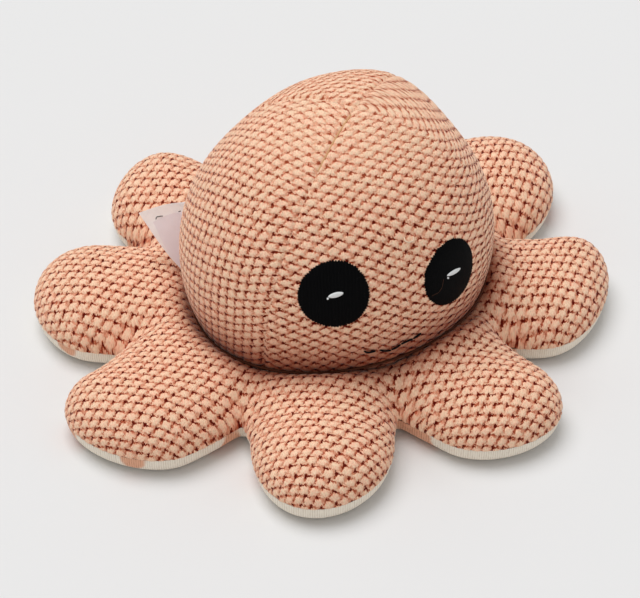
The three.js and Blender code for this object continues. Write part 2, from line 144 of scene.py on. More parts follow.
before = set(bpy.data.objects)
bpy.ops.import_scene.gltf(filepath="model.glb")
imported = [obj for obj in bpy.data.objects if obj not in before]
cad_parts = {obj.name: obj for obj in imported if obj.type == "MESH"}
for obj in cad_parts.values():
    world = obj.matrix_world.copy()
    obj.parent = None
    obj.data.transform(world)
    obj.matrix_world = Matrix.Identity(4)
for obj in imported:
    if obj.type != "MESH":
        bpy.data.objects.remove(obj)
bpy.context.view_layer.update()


# Arithmetic that works on arrays for the meshes and on wires for the finishes

class Wire:
    """A number that runs between two nodes; arithmetic on it adds Math nodes."""

    def __init__(self, finish, socket):
        self.finish = finish
        self.socket = socket

    def maths(self, operation, *others):
        inputs = dict(enumerate((self, *others)))
        return self.finish.node("ShaderNodeMath", {"operation": operation}, inputs)

    def __add__(self, other):
        return self.maths("ADD", other)

    __radd__ = __add__

    def __mul__(self, other):
        return self.maths("MULTIPLY", other)

    __rmul__ = __mul__

    def __sub__(self, other):
        return self.maths("SUBTRACT", other)

    def __rsub__(self, other):
        return (self * -1.0) + other


def either(operation, for_arrays):
    """One function for both: a Math node's operation on a wire, or for_arrays on an array."""

    def applied(value, *others):
        if isinstance(value, Wire):
            return value.maths(operation, *others)
        return for_arrays(value, *others)

    return applied


floor_of = either("FLOOR", np.floor)
fraction_of = either("FRACT", lambda value: value - np.floor(value))
sine_of = either("SINE", np.sin)
size_of = either("ABSOLUTE", np.abs)
larger_of = either("MAXIMUM", np.maximum)
smaller_of = either("MINIMUM", np.minimum)
power_of = either("POWER", np.power)
angle_of = either("ARCTAN2", np.arctan2)


def kept_in(value):
    """The value, held between 0 and 1."""
    return smaller_of(larger_of(value, 0.0), 1.0)


def colour(red, green, blue):
    """A colour as a picture writes it, from 0 to 255, in the renderer's linear numbers."""
    return tuple(((c / 255 + 0.055) / 1.055) ** 2.4 for c in (red, green, blue))


def chance_of(row, column, seed):
    """A repeatable number from 0 to 1 for a pair of whole numbers."""
    return fraction_of(sine_of(row * 1.73 + column * 2.31 + seed) * 91.7)


# A stitch is drawn in stitch widths across and course heights up. Its cloth is a middling pink
# ground with a pale lump, a slanting gap on the lump's left, and above the lump a slit with a
# hole at both ends under a low bridge. Each oval has its middle, half sizes and slant, and the gap
# its two ends and half its width.
GROUND = 0.66
LUMP_AT = (-0.04, 0.05)
LUMP_HEIGHT = 0.29
LUMP_SLANT = 0.22
LUMP_CORNERS = 5.0
GAP = ((-0.45, -0.05), (-0.29, 0.38), 0.11)
GAP_DEPTH = 0.64
SLIT_AT = (0.0, 0.56)
SLIT = ((-0.06, 0.465), (0.30, 0.12), 0.02)
SLIT_DEPTH = 0.82
LEFT_HOLE = ((-0.26, 0.48), (0.13, 0.25))
LEFT_DEPTH = 0.84
RIGHT_HOLE = ((0.26, 0.48), (0.10, 0.18))
RIGHT_DEPTH = 0.50
BRIDGE = ((0.03, 0.65), (0.24, 0.13), 0.05)
BRIDGE_HEIGHT = 0.18
MESH_LUMP = ((0.03, 0.0), (0.50, 0.52), 0.22)


def cell_of(x, y, at, seed):
    """Places across and up from the nearest stitch, whose parts lie round at, and its chances."""
    row = floor_of(y - (at[1] - 0.5))
    shift = row * 0.5 - floor_of(row * 0.5)
    column = floor_of(x - shift - (at[0] - 0.5))
    chances = [chance_of(row, column, seed + more) for more in (0.0, 7.0)]
    return x - shift - column, y - row, *chances


def shaken(place, chance, range_of_it):
    """A place moved to one side or the other by its chance."""
    return place + (chance - 0.5) * range_of_it


def oval(x, y, at, half, slant=0.0):
    """1 in the middle of an oval, falling to 0 at its edge."""
    across = (x - at[0]) * (1 / half[0])
    up = (y - at[1] - (x - at[0]) * slant) * (1 / half[1])
    return kept_in(1 - across * across - up * up)


def bar(x, y, start, end, half):
    """1 on the line between two places, falling to 0 at half a width beside it."""
    span_x, span_y = end[0] - start[0], end[1] - start[1]
    squared = span_x ** 2 + span_y ** 2
    share = kept_in((x - start[0]) * (span_x / squared) + (y - start[1]) * (span_y / squared))
    aside = x - start[0] - share * span_x
    above = (y - start[1] - share * span_y) * (COURSE_HEIGHT / STITCH_WIDTH)
    return kept_in(1 - power_of(aside * aside + above * above, 0.5) * (1 / half))


def steep(across, up, shape):
    """An oval with steep sides."""
    return power_of(oval(across, up, *shape), 0.5)


def stitches(x, y):
    """Height of the knit from 0 in its holes to 1 on its lumps, and the lumps' chances."""
    across, up, first, second = cell_of(x, y, LUMP_AT, KNIT_SEED)
    across = shaken(across, first, 0.14)
    up = shaken(up, second, 0.16)
    aslant = up - across * LUMP_SLANT
    corners = sine_of(angle_of(aslant, across) * LUMP_CORNERS + first * 6.3) * 0.42 + 1.0
    spread = (across * across * 4.4 + aslant * aslant * 4.8) * corners
    lump = power_of(kept_in(1 - spread), 0.35)
    gap = power_of(bar(across, up, *GAP), 0.7) * (second * 0.7 + 0.3)
    across, up, third, fourth = cell_of(x, y, SLIT_AT, KNIT_SEED + 2.0)
    across = shaken(across, third, 0.16)
    up = shaken(up, fourth, 0.14) + across * (first - 0.5) * 0.5
    slit = steep(across, up, SLIT) * (third * 0.6 + 0.4)
    left = steep(across, up, LEFT_HOLE) * (fourth * 0.5 + 0.5)
    right = steep(across, up, RIGHT_HOLE) * third
    bridge = steep(across, up, BRIDGE)
    height = larger_of(lump * (first * 0.05 + LUMP_HEIGHT), bridge * BRIDGE_HEIGHT) + GROUND
    height = height - gap * GAP_DEPTH - slit * SLIT_DEPTH - left * LEFT_DEPTH - right * RIGHT_DEPTH
    return kept_in(height), first


def cushions(u, v):
    """The lumps alone, as the mesh shows them, from 0 between them to 1 on them."""
    across, up, first, second = cell_of(u / STITCH_WIDTH, v / COURSE_HEIGHT, LUMP_AT, KNIT_SEED)
    lump = oval(shaken(across, first, 0.08), shaken(up, second, 0.12), *MESH_LUMP)
    return lump * (2 - lump)


# Finishes

RIB_PITCH = 0.95
SATIN_PITCH = 0.55
WEAVE_PITCH = 0.5


class Finish:
    """A material with one Principled shader, and the nodes that feed it."""

    def __init__(self, name, roughness, sheen=0.0):
        self.material = bpy.data.materials.new(name)
        self.material.use_nodes = True
        self.tree = self.material.node_tree
        self.shader = self.tree.nodes["Principled BSDF"]
        self.set("Roughness", roughness)
        self.set("Specular IOR Level", 0.08)
        if sheen:
            self.set("Sheen Weight", sheen)
            self.set("Sheen Roughness", 0.5)

    def set(self, socket, value):
        """Gives one of the shader's sockets a value or a wire."""
        self._feed(self.shader.inputs[socket], value)

    def _feed(self, socket, value):
        if isinstance(value, Wire):
            self.tree.links.new(value.socket, socket)
        elif isinstance(value, tuple) and socket.type == "RGBA":
            socket.default_value = (*value, 1.0)
        else:
            socket.default_value = value

    def node(self, kind, settings=None, inputs=None, out=0):
        """Adds a node: first its settings, then the values or wires of its sockets."""
        made = self.tree.nodes.new(kind)
        for key, value in (settings or {}).items():
            setattr(made, key, value)
        for key, value in (inputs or {}).items():
            self._feed(made.inputs[key], value)
        return Wire(self, made.outputs[out])

    def ramp(self, value, stops):
        ramped = self.node("ShaderNodeValToRGB", None, {"Fac": value})
        elements = ramped.socket.node.color_ramp.elements
        while len(elements) < len(stops):
            elements.new(1.0)
        for element, (place, shade) in zip(elements, stops):
            element.position = place
            element.color = (*shade, 1.0)
        return ramped

    def cloth_map(self):
        """The two places on the cloth in millimetres, from its UV map."""
        uv = self.node("ShaderNodeUVMap", {"uv_map": "cloth"})
        places = [self.node("ShaderNodeSeparateXYZ", None, {"Vector": uv}, out=k) for k in "XY"]
        return [place * (1 / MM) for place in places]

    def attribute(self, name):
        return self.node("ShaderNodeAttribute", {"attribute_name": name}, out="Fac")

    def noise(self, place, scale, detail, roughness=0.6, out="Fac"):
        inputs = {"Vector": place, "Scale": scale, "Detail": detail, "Roughness": roughness}
        return self.node("ShaderNodeTexNoise", None, inputs, out=out)

    def stretched_cloth(self, stretch):
        uv = self.node("ShaderNodeUVMap", {"uv_map": "cloth"})
        return self.node("ShaderNodeMapping", None, {"Vector": uv, "Scale": stretch})

    def cloth_noise(self, scale, stretch=(1.0, 1.0, 1.0)):
        return self.noise(self.stretched_cloth(stretch), scale, 2.0)

    def cloth_grain(self, scale, stretch=(1.0, 1.0, 1.0)):
        """Three unrelated fine noises that lie on the cloth."""
        noises = self.noise(self.stretched_cloth(stretch), scale, 1.0, 0.5, out="Color")
        return [self.node("ShaderNodeSeparateColor", None, {"Color": noises}, out=k) for k in range(3)]

    def mix(self, share, first, second, way="MIX"):
        settings = {"data_type": "RGBA", "blend_type": way}
        return self.node("ShaderNodeMix", settings, {0: share, 6: first, 7: second}, out=2)

    def bump(self, height, strength, distance):
        inputs = {"Height": height, "Strength": strength, "Distance": distance}
        self.set("Normal", self.node("ShaderNodeBump", None, inputs))


def knit_finish():
    """Peach yarn whose lumps are pale on top and whose gaps are terracotta, with painted shade in its
    gaps and holes and painted highlight on its lumps.
    """
    finish = Finish("peach_knit", 0.95, sheen=0.5)
    finish.set("Sheen Tint", (1.0, 0.90, 0.82))
    finish.set("Sheen Roughness", 0.3)
    u, v = finish.cloth_map()
    pull_x, pull_y, tint = finish.cloth_grain(1000)
    fibres, wisps, _ = finish.cloth_grain(2200, (1.5, 0.6, 1.0))
    x = u * (1 / STITCH_WIDTH) + (pull_x - 0.5) * 0.34 + (wisps - 0.5) * 0.26
    y = v * (1 / COURSE_HEIGHT) + (pull_y - 0.5) * 0.46 + (fibres - 0.5) * 0.34
    height, chance = stitches(x, y)
    # Painted sheen: the yarn turns paler towards the crown, by the crown attribute
    paler = height + (1 - height) * finish.attribute("crown") * 0.34
    # The ramp runs from painted shade in the holes and slits, through the yarn's own terracotta and
    # peach, to pale lump tops that carry a painted highlight
    yarn = finish.ramp(paler + (fibres - 0.5) * 0.35, [
        (0.0, colour(92, 14, 2)),
        (0.20, colour(134, 48, 24)),
        (0.42, colour(188, 102, 70)),
        (0.60, colour(213, 146, 115)),
        (0.80, colour(239, 189, 156)),
        (1.0, colour(252, 220, 188)),
    ])
    pinker = finish.mix(1.0, yarn, (1.0, 0.80, 0.80), "MULTIPLY")
    tinted = finish.mix(kept_in((tint - 0.5) * 3.0 + chance * 0.5 + 0.1), yarn, pinker)
    lit = finish.node("ShaderNodeHueSaturation", None, {
        "Value": (wisps - 0.5) * 0.7 + 1.0, "Color": tinted})
    # Painted shade: the yarn is darkened and reddened towards the neck's crease, by the neck attribute
    crease_shade = finish.mix(1.0, lit, (0.38, 0.18, 0.13), "MULTIPLY")
    finish.set("Base Color", finish.mix(finish.attribute("neck"), lit, crease_shade))
    finish.bump(height + fibres * 0.5, 0.4, 0.0006)
    return finish.material


def jersey_finish():
    """Cream jersey with peach spots, in fine ribs."""
    finish = Finish("cream_jersey", 0.9, sheen=0.1)
    u, _ = finish.cloth_map()
    fibres = finish.cloth_noise(1300)
    rib = sine_of(u * (FULL_TURN / RIB_PITCH) + (fibres - 0.5) * 3.0) * 0.5 + 0.5
    gaps = power_of(rib, 3.0) * kept_in(fibres * 1.8 - 0.4)
    cream = finish.mix(gaps, (0.95, 0.86, 0.73), (0.68, 0.56, 0.43))
    peach = finish.mix(gaps, (0.84, 0.45, 0.29), (0.48, 0.19, 0.10))
    finish.set("Base Color", finish.mix(finish.attribute("spots"), cream, peach))
    finish.bump(1 - gaps, 0.6, 0.0003)
    return finish.material


def plain_finish(name, tone, roughness, grain, spread):
    """A thread or fibre finish whose tone wanders with a grain of the given scale."""
    finish = Finish(name, roughness)
    place = finish.node("ShaderNodeTexCoord", out="Object")
    mottle = finish.noise(place, grain, 3.0)
    darker = tuple(c * (1 - spread) for c in tone)
    finish.set("Base Color", finish.mix(mottle, darker, tone))
    finish.bump(mottle, 0.3, 0.0003)
    return finish.material


def satin_finish():
    """Black satin stitches that lie upright side by side."""
    finish = Finish("black_satin", 0.6)
    u, _ = finish.cloth_map()
    fibres = finish.cloth_noise(1800, (1.0, 0.12, 1.0))
    ridge = size_of(sine_of(u * (math.pi / SATIN_PITCH) + (fibres - 0.5) * 2.0))
    dark, light = (0.0012, 0.0012, 0.0014), (0.005, 0.005, 0.0055)
    finish.set("Base Color", finish.mix(power_of(ridge, 3.0), dark, light))
    finish.set("Specular IOR Level", 0.03)
    finish.bump(ridge + fibres * 0.5, 0.6, 0.0002)
    return finish.material


def ribbon_finish(name, tone, alpha):
    """Thin sheer ribbon that the light also passes through, and that glows faintly with painted light.
    """
    finish = Finish(name, 0.5)
    u, v = finish.cloth_map()
    weave = sine_of(u * (FULL_TURN / WEAVE_PITCH)) * sine_of(v * (FULL_TURN / WEAVE_PITCH))
    cloudy = finish.cloth_noise(160)
    shade = tuple(0.86 * c for c in tone)
    finish.set("Base Color", finish.mix(kept_in(weave * 0.2 + cloudy), shade, tone))
    finish.set("Alpha", alpha)
    finish.bump(weave + cloudy, 0.2, 0.0002)
    # Painted light: a faint glow in the ribbon's own tone, though no lamp is in it
    finish.set("Emission Color", tone)
    finish.set("Emission Strength", 0.16)
    lit_from_behind = finish.node("ShaderNodeBsdfTranslucent", None, {"Color": tone})
    face = Wire(finish, finish.shader.outputs["BSDF"])
    both = finish.node("ShaderNodeMixShader", None, {0: 0.5, 1: face, 2: lit_from_behind})
    finish.tree.links.new(both.socket, finish.tree.nodes["Material Output"].inputs["Surface"])
    return finish.material


PEACH_KNIT = knit_finish()
CREAM_JERSEY = jersey_finish()
BLACK_SATIN = satin_finish()
BLACK_THREAD = plain_finish("black_thread", (0.006, 0.006, 0.007), 0.8, 900, 0.5)
WHITE_THREAD = plain_finish("white_thread", (0.86, 0.87, 0.87), 0.5, 900, 0.15)
SEAM_THREAD = plain_finish("seam_thread", (0.10, 0.03, 0.015), 0.9, 900, 0.3)
CROWN_THREAD = plain_finish("crown_thread", (0.74, 0.43, 0.22), 0.8, 900, 0.25)
PALE_YARN = plain_finish("pale_yarn", (0.88, 0.66, 0.48), 0.8, 900, 0.2)
BROWN_HAIR = plain_finish("brown_hair", (0.08, 0.035, 0.022), 0.7, 900, 0.3)
OUTER_RIBBON = ribbon_finish("sheer_ribbon", (0.97, 0.97, 0.97), 0.92)
INNER_RIBBON = ribbon_finish("lavender_ribbon", (0.90, 0.86, 0.90), 0.97)
FIBRE = plain_finish("stuffing_fibre", (0.85, 0.84, 0.82), 0.95, 200, 0.1)


# Meshes

def smooth_step(low, high, value):
    share = np.clip((value - low) / (high - low), 0, 1)
    return share * share * (3 - 2 * share)


def unit(vectors):
    return vectors / np.linalg.norm(vectors, axis=-1, keepdims=True)


def new_object(name, data):
    made = bpy.data.objects.new(name, data)
    bpy.context.scene.collection.objects.link(made)
    return made


def places_of(mesh):
    """The places of a mesh's vertices."""
    flat = np.empty(3 * len(mesh.vertices))
    mesh.vertices.foreach_get("co", flat)
    return flat.reshape(-1, 3)


def cloth(name, cells, place, material, closed=False):
    """A grid of cells that place(s, q) moves to points in mm, with its cloth map and attributes.
    A closed one has its poles and meeting edges joined."""
    bm = bmesh.new()
    bmesh.ops.create_grid(bm, x_segments=cells[0], y_segments=cells[1], size=0.5)
    mesh = bpy.data.meshes.new(name)
    bm.to_mesh(mesh)
    s, q, _ = (places_of(mesh) + 0.5).T
    points, cloth_map, attributes = place(s, q)
    mesh.vertices.foreach_set("co", (points * MM).ravel())
    corners = np.empty(len(mesh.loops), np.int32)
    mesh.loops.foreach_get("vertex_index", corners)
    layer = mesh.uv_layers.new(name="cloth")
    layer.data.foreach_set("uv", (cloth_map[corners] * MM).ravel())
    for key, values in attributes.items():
        mesh.attributes.new(key, "FLOAT", "POINT").data.foreach_set("value", values)
    if closed:
        bm.clear()
        bm.from_mesh(mesh)
        bmesh.ops.remove_doubles(bm, verts=bm.verts, dist=1e-6)
        bm.to_mesh(mesh)
    bm.free()
    mesh.polygons.foreach_set("use_smooth", np.ones(len(mesh.polygons), bool))
    mesh.update()
    mesh.materials.append(material)
    return new_object(name, mesh)


def settle(piece, body, node=None):
    """Says what carries a piece and hides the node it replaces, if one is given."""
    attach(piece, body)
    if node:
        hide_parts(node)


def scatter(a, b, seed):
    """A repeatable number from 0 to 1 for each pair of whole numbers."""
    mixed = np.sin(a * 127.1 + b * 311.7 + seed * 74.7) * 43758.5453
    return mixed - np.floor(mixed)


def wander(u, v, length, seed):
    """Smooth repeatable unevenness from -1 to 1, over about that length."""
    x, y = u / length, v / length
    i, j = np.floor(x), np.floor(y)
    f, g = x - i, y - j
    f, g = f * f * (3 - 2 * f), g * g * (3 - 2 * g)
    low = scatter(i, j, seed) * (1 - f) + scatter(i + 1, j, seed) * f
    high = scatter(i, j + 1, seed) * (1 - f) + scatter(i + 1, j + 1, seed) * f
    return 2 * (low * (1 - g) + high * g) - 1


def uneven(u, v, seed):
    """The cloth's places, a little pulled about as hands and stuffing pull them."""
    return u + 0.5 * wander(u, v, 17, seed), v + 0.4 * wander(u, v, 14, seed + 1)


def tube(name, line, radius, material, steps, around=8):
    """A thread along a line of points, tapered shut at both ends."""
    line = np.asarray(line, float)
    lengths = np.concatenate([[0], np.cumsum(np.linalg.norm(np.diff(line, axis=0), axis=1))])

    def at(share):
        return np.stack([np.interp(share * lengths[-1], lengths, line[:, k]) for k in range(3)], -1)

    def place(s, q):
        middle = at(s)
        along = unit(at(np.minimum(s + 0.02, 1)) - at(np.maximum(s - 0.02, 0)))
        side = unit(np.cross(along, np.array([0.31, 0.22, 0.93])))
        over = np.cross(side, along)
        thick = radius * np.sqrt(np.clip(1 - np.abs(2 * s - 1) ** (2 * steps / 3), 0, 1))
        turn = q * FULL_TURN
        ring = np.cos(turn)[:, None] * side + np.sin(turn)[:, None] * over
        points = middle + ring * thick[:, None]
        return points, np.stack([s * lengths[-1], turn * radius], -1), {}

    return cloth(name, (steps, around), place, material, closed=True)


# Picture and surface

BACK = unit(CAMERA_PLACE - CAMERA_TARGET)
RIGHT = unit(np.cross([0, 0, 1], BACK))
UP = np.cross(BACK, RIGHT)
PIXELS = CAMERA_LENS / SENSOR_WIDTH * PICTURE_SIZE[0]


def sight(pixel):
    """The direction in which the camera sees a pixel of the photograph."""
    across = (pixel[0] - PICTURE_SIZE[0] / 2) / PIXELS
    above = (PICTURE_SIZE[1] / 2 - pixel[1]) / PIXELS
    return unit(RIGHT * across + UP * above - BACK)


def from_bearing(bearing_deg, rise_deg):
    bearing, rise = math.radians(bearing_deg), math.radians(rise_deg)
    level = math.cos(rise)
    return np.array([level * math.sin(bearing), -level * math.cos(bearing), math.sin(rise)])


def head_radius(outward):
    """The head's radius in the given unit directions."""
    radius = np.full(outward.shape[:-1], HEAD_RADIUS)
    for bearing, rise, height, breadth in HEAD_SWELLS:
        near = np.degrees(np.arccos(np.clip(outward @ from_bearing(bearing, rise), -1, 1)))
        radius = radius + height * np.exp(-((near / breadth) ** 2))
    return radius


def head_surface(outward, lift=0.0):
    return HEAD_CENTRE + outward * (head_radius(outward) + lift)[..., None]


def on_head(pixel, lift=0.0):
    """The point of the head that the camera sees at a pixel, raised by lift."""
    ray = sight(pixel)
    start = CAMERA_PLACE - HEAD_CENTRE
    radius = HEAD_RADIUS
    for _ in range(12):
        middle = start @ ray
        inside = max(0.0, middle ** 2 - start @ start + radius ** 2)
        outward = unit(start + ray * (-middle - math.sqrt(inside)))
        radius = float(head_radius(outward[None])[0]) + lift
    return HEAD_CENTRE + outward * radius


def on_level(pixel, level):
    """The point at a height that the camera sees at a pixel."""
    ray = sight(pixel)
    return CAMERA_PLACE + ray * ((level - CAMERA_PLACE[2]) / ray[2])


# Neck

def neck_level(bearing):
    """Height of the star where the head meets it."""
    return NECK_HEIGHT + NECK_TILT * np.cos(bearing - math.radians(NECK_HIGH_BEARING_DEG))


def neck_radii():
    """Distance of the neck's crease from the head's axis, for bearings all round."""
    bearings = np.linspace(-math.pi, math.pi, 181)
    rises = np.linspace(-60, 10, 141)
    radii = []
    for bearing in bearings:
        outward = np.stack([from_bearing(math.degrees(bearing), rise) for rise in rises])
        surface = head_surface(outward) - HEAD_CENTRE
        level = neck_level(bearing) - 1.0 - HEAD_CENTRE[2]
        radii.append(np.interp(level, surface[:, 2], np.hypot(surface[:, 0], surface[:, 1])))
    return bearings, np.array(radii)


NECK = neck_radii()


def past_neck(plan):
    """Bearings of plan points from the head's axis, and how far outside the neck's crease they are."""
    from_head = plan - HEAD_CENTRE[:2]
    bearing = np.arctan2(from_head[:, 0], -from_head[:, 1])
    return bearing, np.linalg.norm(from_head, axis=1) - np.interp(bearing, *NECK)


def painted_crease_shade(points, breadth):
    """1 in the crease, where painted shade darkens and reddens the yarn, fading over a breadth."""
    bearing, aside = past_neck(points[:, :2])
    above = points[:, 2] - neck_level(bearing) + NECK_CREASE
    return np.exp(-(aside ** 2 + above ** 2) / breadth ** 2)


def round_neck(bearing, reach, level):
    """Points at bearings and distances from the head's axis."""
    x = HEAD_CENTRE[0] + reach * np.sin(bearing)
    y = HEAD_CENTRE[1] - reach * np.cos(bearing)
    return np.stack([x, y, level], -1)


# Head

def head_matrix():
    turn = Matrix.Rotation(math.radians(HEAD_YAW_DEG), 3, "Z")
    turn = turn @ Matrix.Rotation(math.radians(HEAD_TIP_FORWARD_DEG), 3, "X")
    return np.array(turn @ Matrix.Rotation(math.radians(HEAD_TIP_RIGHT_DEG), 3, "Y"))


HEAD_TURN = head_matrix()


def head_outward(bearing, rise):
    """The unit direction at a bearing and rise, in radians, of the head's own frame."""
    level = np.cos(rise)
    own = np.stack([level * np.sin(bearing), -level * np.cos(bearing), np.sin(rise)], -1)
    return own @ HEAD_TURN.T


def lowest_rise(bearing):
    """The rise at which the head's surface is at the level of its floor."""
    low = np.full_like(bearing, -math.radians(60))
    high = np.zeros_like(bearing)
    for _ in range(30):
        middle = 0.5 * (low + high)
        below = head_surface(head_outward(bearing, middle))[..., 2] < HEAD_FLOOR
        low = np.where(below, middle, low)
        high = np.where(below, high, middle)
    return high


def head_cloth(bearing, rise, side):
    """Places across and up a gore's knit in mm."""
    low, high = np.radians(MEASURED_BEARINGS_DEG)
    half_turn = math.pi if side == "back" else 0.0
    within = np.clip(bearing - half_turn, low, high)
    beyond = bearing - half_turn - within
    slant = np.radians(np.where(beyond < 0, *BEYOND_SLANTS_DEG))
    reach = HEAD_RADIUS * np.cos(rise) * beyond
    x, y, z = head_outward(within, rise).T
    terms = np.stack([x ** i * y ** j * z ** k for i, j, k in HEAD_POWERS])
    across, up = (LEFT_ACROSS, LEFT_UP) if side == "left" else (FRONT_ACROSS, FRONT_UP)
    across, up = np.array(across) @ terms, np.array(up) @ terms
    return across + reach * np.cos(slant), up + reach * np.sin(slant)


def head_gore(side, centre_deg, order):
    centre = math.radians(centre_deg)
    half = math.pi / 4
    left_depth, right_depth = SEAM_DEPTHS[side]

    def place(s, q):
        offset = (2 * s - 1) * half
        lowest = lowest_rise(centre + offset)
        rise = lowest + (math.pi / 2 - lowest) * q
        outward = head_outward(centre + offset, rise)
        u, v = head_cloth(centre + offset, rise, side)
        u, v = uneven(u, v, 11 + order)
        to_seam = HEAD_RADIUS * np.cos(rise) * (half - np.abs(offset))
        depth = np.where(offset < 0, left_depth, right_depth)
        crease = depth * np.exp(-((to_seam / SEAM_REACH) ** 2))
        relief = HEAD_LUMP_RISE - KNIT_DEPTH * (1 - cushions(u, v)) * smooth_step(-0.5, 0.8, to_seam)
        points = head_surface(outward, relief - crease)
        # Painted shade in the neck's crease, fading out over the head
        crease_shade = painted_crease_shade(points, CREASE_SHADE_REACH["head"])
        # Painted sheen towards the crown
        pale = smooth_step(*CROWN_SHEEN_LEVELS, points[:, 2])
        return points, np.stack([u, v], -1), {"neck": crease_shade, "crown": pale}

    return cloth(f"head_{side}_knit", GORE_CELLS, place, PEACH_KNIT, closed=True)


for order, (side, centre_deg) in enumerate(GORES.items()):
    gore = head_gore(side, centre_deg, order)
    settle(gore, "head", f"head_{side}_gore")


# Star of arms

def bearing_of(arm):
    return (2 * arm + 1) * HALF_SECTOR


def directions(angles):
    """Plan directions at angles from +X."""
    return np.stack([np.cos(angles), np.sin(angles)], -1)


def arm_outline(arm):
    """One arm's edge from the notch on its right to the notch on its left, in mm."""
    tip = BEND_RADIUS + ARM_LENGTHS[arm]
    half_width = ARM_WIDTHS[arm] / 2
    widest = ARM_WIDEST_AT[arm]
    turn = np.linspace(0, math.pi / 2, 60)[1:]
    sides = []
    for notch in (NOTCH_RADII[arm], NOTCH_RADII[(arm + 1) % ARM_COUNT]):
        share = np.linspace(0, 1, 40)
        near = notch * math.cos(HALF_SECTOR)
        side_x = near + (widest - near) * share
        start = notch * math.sin(HALF_SECTOR)
        side_y = start + (half_width - start) * smooth_step(0, 1, share)
        x = np.concatenate([side_x, widest + (tip - widest) * np.sin(turn)])
        y = np.concatenate([side_y, half_width * np.cos(turn)])
        sides.append((x, y))
    (right_x, right_y), (left_x, left_y) = sides
    x = np.concatenate([right_x, left_x[-2::-1]])
    y = np.concatenate([-right_y, left_y[-2::-1]])
    y = y + ARM_LEANS[arm] * (np.clip(x - BEND_RADIUS, 0, None) / ARM_LENGTHS[arm]) ** 2
    c, s = math.cos(bearing_of(arm)), math.sin(bearing_of(arm))
    return np.stack([c * x - s * y, s * x + c * y], -1)


def resampled(points, count, closed):
    """Points at even steps along a line."""
    if closed:
        points = np.concatenate([points, points[:1]])
    steps = np.concatenate([[0], np.cumsum(np.linalg.norm(np.diff(points, axis=0), axis=1))])
    wanted = np.linspace(0, steps[-1], count, endpoint=not closed)
    return np.stack([np.interp(wanted, steps, points[:, k]) for k in (0, 1)], -1)


def star_outline():
    """The whole edge of the star, anticlockwise, with its corners softened."""
    line = np.concatenate([arm_outline(arm)[:-1] for arm in range(ARM_COUNT)])
    line = resampled(line, OUTLINE_POINTS, True)
    step = np.linalg.norm(line[1] - line[0])
    reach = np.arange(-24, 25)
    weights = np.exp(-0.5 * (reach * step / CORNER_SOFTNESS) ** 2)
    weights /= weights.sum()
    return sum(w * np.roll(line, -r, axis=0) for r, w in zip(reach, weights))


OUTLINE = star_outline()


def sector_edge(arm, count):
    """Even points along the edge between the two planes that part an arm from its neighbours."""
    turned = np.arctan2(OUTLINE[:, 1], OUTLINE[:, 0]) - bearing_of(arm)
    turned = (turned + math.pi) % FULL_TURN - math.pi
    inside = np.where(np.abs(turned) < HALF_SECTOR)[0]
    order = inside[np.argsort(turned[inside])]
    ends = []
    for side in (-HALF_SECTOR, HALF_SECTOR):
        near = np.argsort(np.abs(turned - side))[:2]
        radii = np.linalg.norm(OUTLINE[near], axis=1)
        gaps = np.abs(turned[near] - side)
        radius = (radii[0] * gaps[1] + radii[1] * gaps[0]) / gaps.sum()
        ends.append(radius * directions(bearing_of(arm) + side))
    return resampled(np.concatenate([[ends[0]], OUTLINE[order], [ends[1]]]), count, False)


def from_edge(plan):
    """Distance of plan points to the star's edge in mm, and the unit direction away from it."""
    stride, chunk, total = 16, 4000, len(OUTLINE)
    coarse = OUTLINE[::stride]
    reach = np.arange(-stride, stride + 1)
    distance = np.empty(len(plan))
    inward = np.empty_like(plan)
    for first in range(0, len(plan), chunk):
        rows = slice(first, first + chunk)
        part = plan[rows]
        rough = ((part[:, None] - coarse[None]) ** 2).sum(2).argmin(1) * stride
        near = (rough[:, None] + reach[None]) % total
        best = ((part[:, None] - OUTLINE[near]) ** 2).sum(2).argmin(1)
        nearest = near[np.arange(len(part)), best]
        choices = []
        for start in (nearest - 1, nearest):
            base = OUTLINE[start % total]
            span = OUTLINE[(start + 1) % total] - base
            share = np.clip(((part - base) * span).sum(1) / (span ** 2).sum(1), 0, 1)
            choices.append(part - base - share[:, None] * span)
        lengths = np.linalg.norm(choices, axis=2)
        closer = (lengths[1] < lengths[0])[:, None]
        inward[rows] = np.where(closer, choices[1], choices[0])
        distance[rows] = lengths.min(0)
    return distance, inward / np.maximum(distance, 1e-6)[:, None]


def swell(distance, reach, fullness):
    """Share of the full height at a distance from the edge, and its slope."""
    rest = 1 - np.clip(distance / reach, 1e-4, 1)
    share = np.sqrt(1 - rest ** fullness)
    return share, fullness * rest ** (fullness - 1) / (2 * share * reach)


def spare_cloth():
    """How much longer than its plan the cloth is from each distance in to the top of the swell."""
    distance = np.linspace(0, 1, 400) ** 2 * TOP_REACH
    height = TOP_RISE * swell(distance, TOP_REACH, TOP_FULLNESS)[0]
    height[0] = 0
    steps = np.hypot(np.diff(distance), np.diff(height)) - np.diff(distance)
    spare = np.concatenate([[0], np.cumsum(steps)])
    return distance, spare[-1] - spare


SPARE = spare_cloth()
NOTCHES = [radius * directions(k * 2 * HALF_SECTOR) for k, radius in enumerate(NOTCH_RADII)]


def neck_lift(plan):
    """How much the star's top is raised or lowered near the neck."""
    bearing, past = past_neck(plan)
    outside = np.maximum(past, 0)
    raised = (neck_level(bearing) - SEAM_HEIGHT - TOP_RISE) * np.exp(-((outside / NECK_REACH) ** 2))
    crease = NECK_CREASE * np.exp(-((outside / NECK_CREASE_REACH) ** 2))
    return raised - crease + INNER_SLOPE * np.clip(past, -INNER_REACH, 0)


